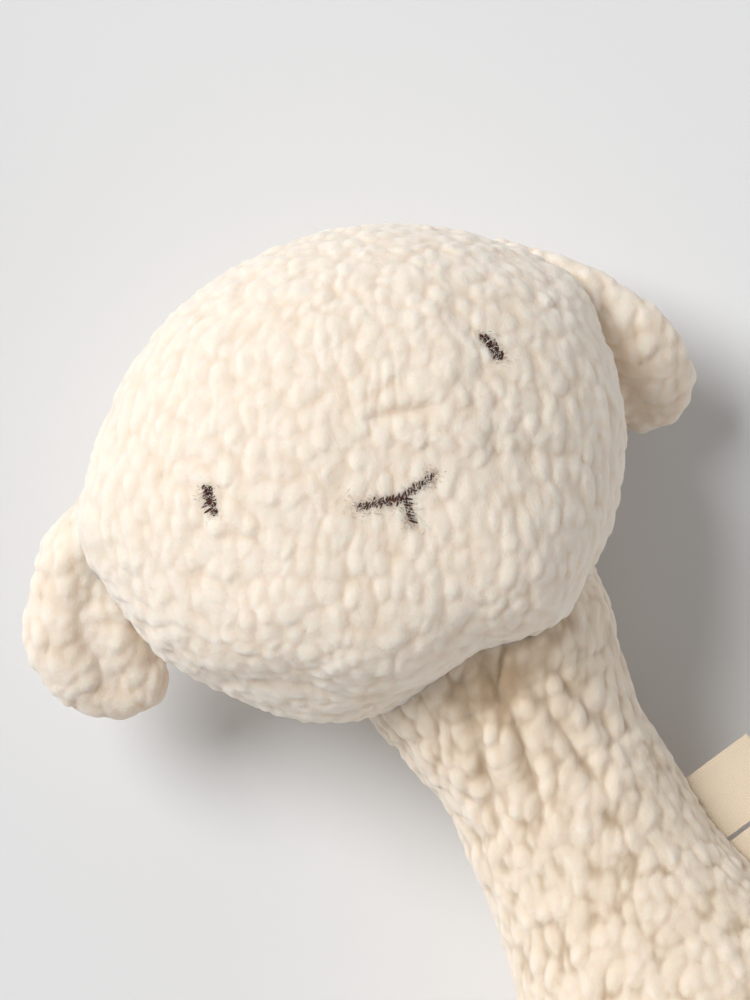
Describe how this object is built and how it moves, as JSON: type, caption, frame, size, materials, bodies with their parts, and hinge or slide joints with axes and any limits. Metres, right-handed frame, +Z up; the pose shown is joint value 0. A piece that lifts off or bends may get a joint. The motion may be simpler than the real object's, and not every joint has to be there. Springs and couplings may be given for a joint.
{
  "type": "plush sheep",
  "caption": "Stuffed fleece lamb lying on its back, with a wide round head, lop ears, stitched eyes and nose, a long neck, a pear torso and floppy sewn-on legs.",
  "frame": {"origin": "middle of the flat under the hips, on the surface that the sheep lies on", "axes": "+Z up, out of the sheep's face and belly; +Y from the hips towards the top of the head; +X to the sheep's own left"},
  "size_m": [0.2156, 0.3597, 0.086],
  "materials": {
    "fleece": "curly pile",
    "fibre": "loose fibre",
    "thread": "satin stitch",
    "ribbon": "woven"
  },
  "bodies": {
    "torso": {"body_front_panel": "fleece", "body_back_panel": "fleece", "body_stuffing": "fibre"},
    "neck": {"neck_cover": "fleece", "neck_stuffing": "fibre"},
    "neck_wad": {"neck_wad": "fibre"},
    "head": {"face_panel": "fleece", "head_back_panel": "fleece", "head_stuffing": "fibre", "eye_right": "thread", "eye_left": "thread", "nose_and_mouth": "thread"},
    "ear_right": {"ear_right_front_panel": "fleece", "ear_right_back_panel": "fleece"},
    "ear_left": {"ear_left_front_panel": "fleece", "ear_left_back_panel": "fleece"},
    "front_leg_right": {"front_leg_right_cover": "fleece", "front_leg_right_stuffing": "fibre"},
    "front_leg_left": {"front_leg_left_cover": "fleece", "front_leg_left_stuffing": "fibre"},
    "hind_leg_right": {"hind_leg_right_cover": "fleece", "hind_leg_right_stuffing": "fibre"},
    "hind_leg_left": {"hind_leg_left_cover": "fleece", "hind_leg_left_stuffing": "fibre"},
    "tail": {"tail": "fleece"},
    "brand_label": {"brand_label": "ribbon"},
    "care_label": {"care_label": "ribbon"}
  },
  "joints": [
    {"name": "neck_tilt", "type": "hinge", "parent": "torso", "child": "neck", "pos_m": [0, 0.104, 0.031], "axis": [0, 0, 1], "range_deg": [-18, 18]},
    {"name": "head_turn", "type": "hinge", "parent": "neck", "child": "neck_wad", "pos_m": [0, 0.14, 0.031], "axis": [0, 1, 0], "range_deg": [-40, 40]},
    {"name": "head_nod", "type": "hinge", "parent": "neck_wad", "child": "head", "pos_m": [0, 0.14, 0.031], "axis": [1, 0, 0], "range_deg": [-30, 15]},
    {"name": "ear_right_lift", "type": "hinge", "parent": "head", "child": "ear_right", "pos_m": [-0.06336, 0.20775, 0.04043], "axis": [-0.0958, 0, -0.9954], "range_deg": [0, 100]},
    {"name": "ear_left_lift", "type": "hinge", "parent": "head", "child": "ear_left", "pos_m": [0.0509, 0.20775, 0.02943], "axis": [0.0958, 0, 0.9954], "range_deg": [0, 100]},
    {"name": "front_leg_right_swing", "type": "hinge", "parent": "torso", "child": "front_leg_right", "pos_m": [-0.04605, 0.04728, 0.03354], "axis": [0.3456, 0.9384, 0], "range_deg": [-15, 75]},
    {"name": "front_leg_left_swing", "type": "hinge", "parent": "torso", "child": "front_leg_left", "pos_m": [0.04605, 0.04728, 0.03354], "axis": [0.3456, -0.9384, 0], "range_deg": [-15, 75]},
    {"name": "hind_leg_right_swing", "type": "hinge", "parent": "torso", "child": "hind_leg_right", "pos_m": [-0.02919, -0.04466, 0.0355], "axis": [-0.8925, 0.4511, 0], "range_deg": [-15, 85]},
    {"name": "hind_leg_left_swing", "type": "hinge", "parent": "torso", "child": "hind_leg_left", "pos_m": [0.02919, -0.04466, 0.0355], "axis": [-0.8925, -0.4511, 0], "range_deg": [-15, 85]},
    {"name": "tail_swing", "type": "hinge", "parent": "torso", "child": "tail", "pos_m": [0, -0.03342, 0.00977], "axis": [-1, 0, 0], "range_deg": [-40, 30]},
    {"name": "brand_label_fold", "type": "hinge", "parent": "torso", "child": "brand_label", "pos_m": [0.02625, 0.0838, 0.03118], "axis": [-0.1413, 0.99, 0], "range_deg": [-60, 60]},
    {"name": "care_label_fold", "type": "hinge", "parent": "torso", "child": "care_label", "pos_m": [0.03034, 0.0687, 0.03184], "axis": [-0.1413, 0.99, 0], "range_deg": [-60, 60]}
  ]
}
